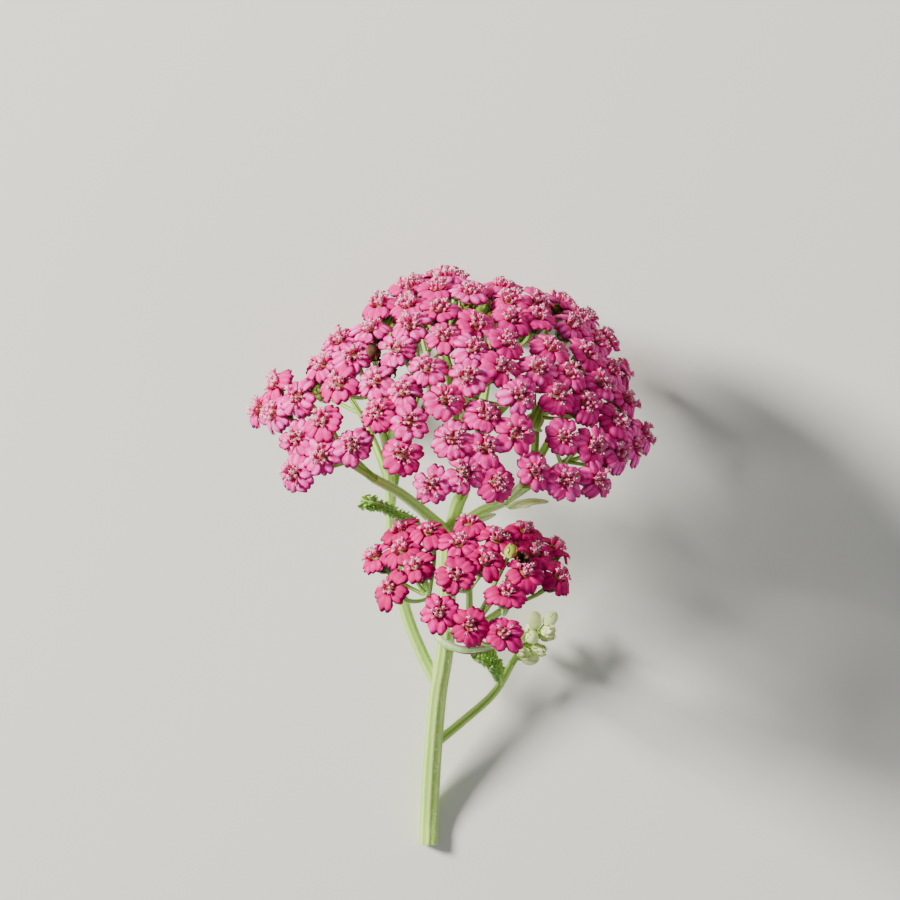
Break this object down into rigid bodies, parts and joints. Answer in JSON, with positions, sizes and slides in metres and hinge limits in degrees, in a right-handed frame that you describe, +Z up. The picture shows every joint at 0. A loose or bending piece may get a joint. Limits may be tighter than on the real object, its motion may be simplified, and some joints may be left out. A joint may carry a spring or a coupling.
{
  "type": "yarrow plant",
  "caption": "Cut flowering stem of pink yarrow laid on its back: flat clusters of small five-rayed heads on forking green stalks, with cut leaves, buds and a withered head.",
  "frame": {"origin": "on the surface that the stem lies on, under the middle of its box", "axes": "+Z up from the surface, +Y along the stem from its cut end to the flowers, +X across the stem to the right as seen from above with the flowers at the top"},
  "size_m": [0.0718, 0.112, 0.0695],
  "materials": {
    "rays_pink": "soft pink petals",
    "rays_magenta": "soft magenta petals",
    "stem": "downy pale green",
    "leaf": "matt green",
    "bud": "matt yellow green",
    "withered": "dry brown"
  },
  "bodies": {
    "root": {"rays_left_low": "rays_pink", "stalks_left_low": "stem", "rays_left_rim": "rays_pink", "stalks_left_rim": "stem", "rays_left_top": "rays_pink", "stalks_left_top": "stem", "rays_centre_left": "rays_pink", "stalks_centre_left": "stem", "rays_top_left": "rays_pink", "stalks_top_left": "stem", "rays_top": "rays_pink", "stalks_top": "stem", "rays_top_right": "rays_pink", "stalks_top_right": "stem", "rays_centre": "rays_pink", "stalks_centre": "stem", "rays_front_low": "rays_pink", "stalks_front_low": "stem", "rays_right_top": "rays_pink", "stalks_right_top": "stem", "rays_right_mid": "rays_pink", "stalks_right_mid": "stem", "rays_right_rim": "rays_pink", "stalks_right_rim": "stem", "rays_right_low": "rays_pink", "stalks_right_low": "stem", "rays_back_top": "rays_pink", "stalks_back_top": "stem", "rays_side_left": "rays_pink", "stalks_side_left": "stem", "rays_side_right": "rays_pink", "stalks_side_right": "stem", "rays_back_left": "rays_pink", "stalks_back_left": "stem", "rays_back_right": "rays_pink", "stalks_back_right": "stem", "rays_front_right": "rays_pink", "stalks_front_right": "stem", "rays_lower_left": "rays_magenta", "stalks_lower_left": "stem", "rays_lower_middle": "rays_magenta", "stalks_lower_middle": "stem", "rays_lower_front": "rays_magenta", "stalks_lower_front": "stem", "rays_lower_right": "rays_magenta", "stalks_lower_right": "stem", "main_stem": "stem", "leaf_cut": "leaf", "leaf_under": "leaf", "leaf_side": "leaf", "bract_centre": "leaf", "bract_high": "leaf", "bract_arch": "leaf", "bract_fork": "leaf", "bud_spray": "bud", "withered_head": "withered"}
  },
  "joints": []
}
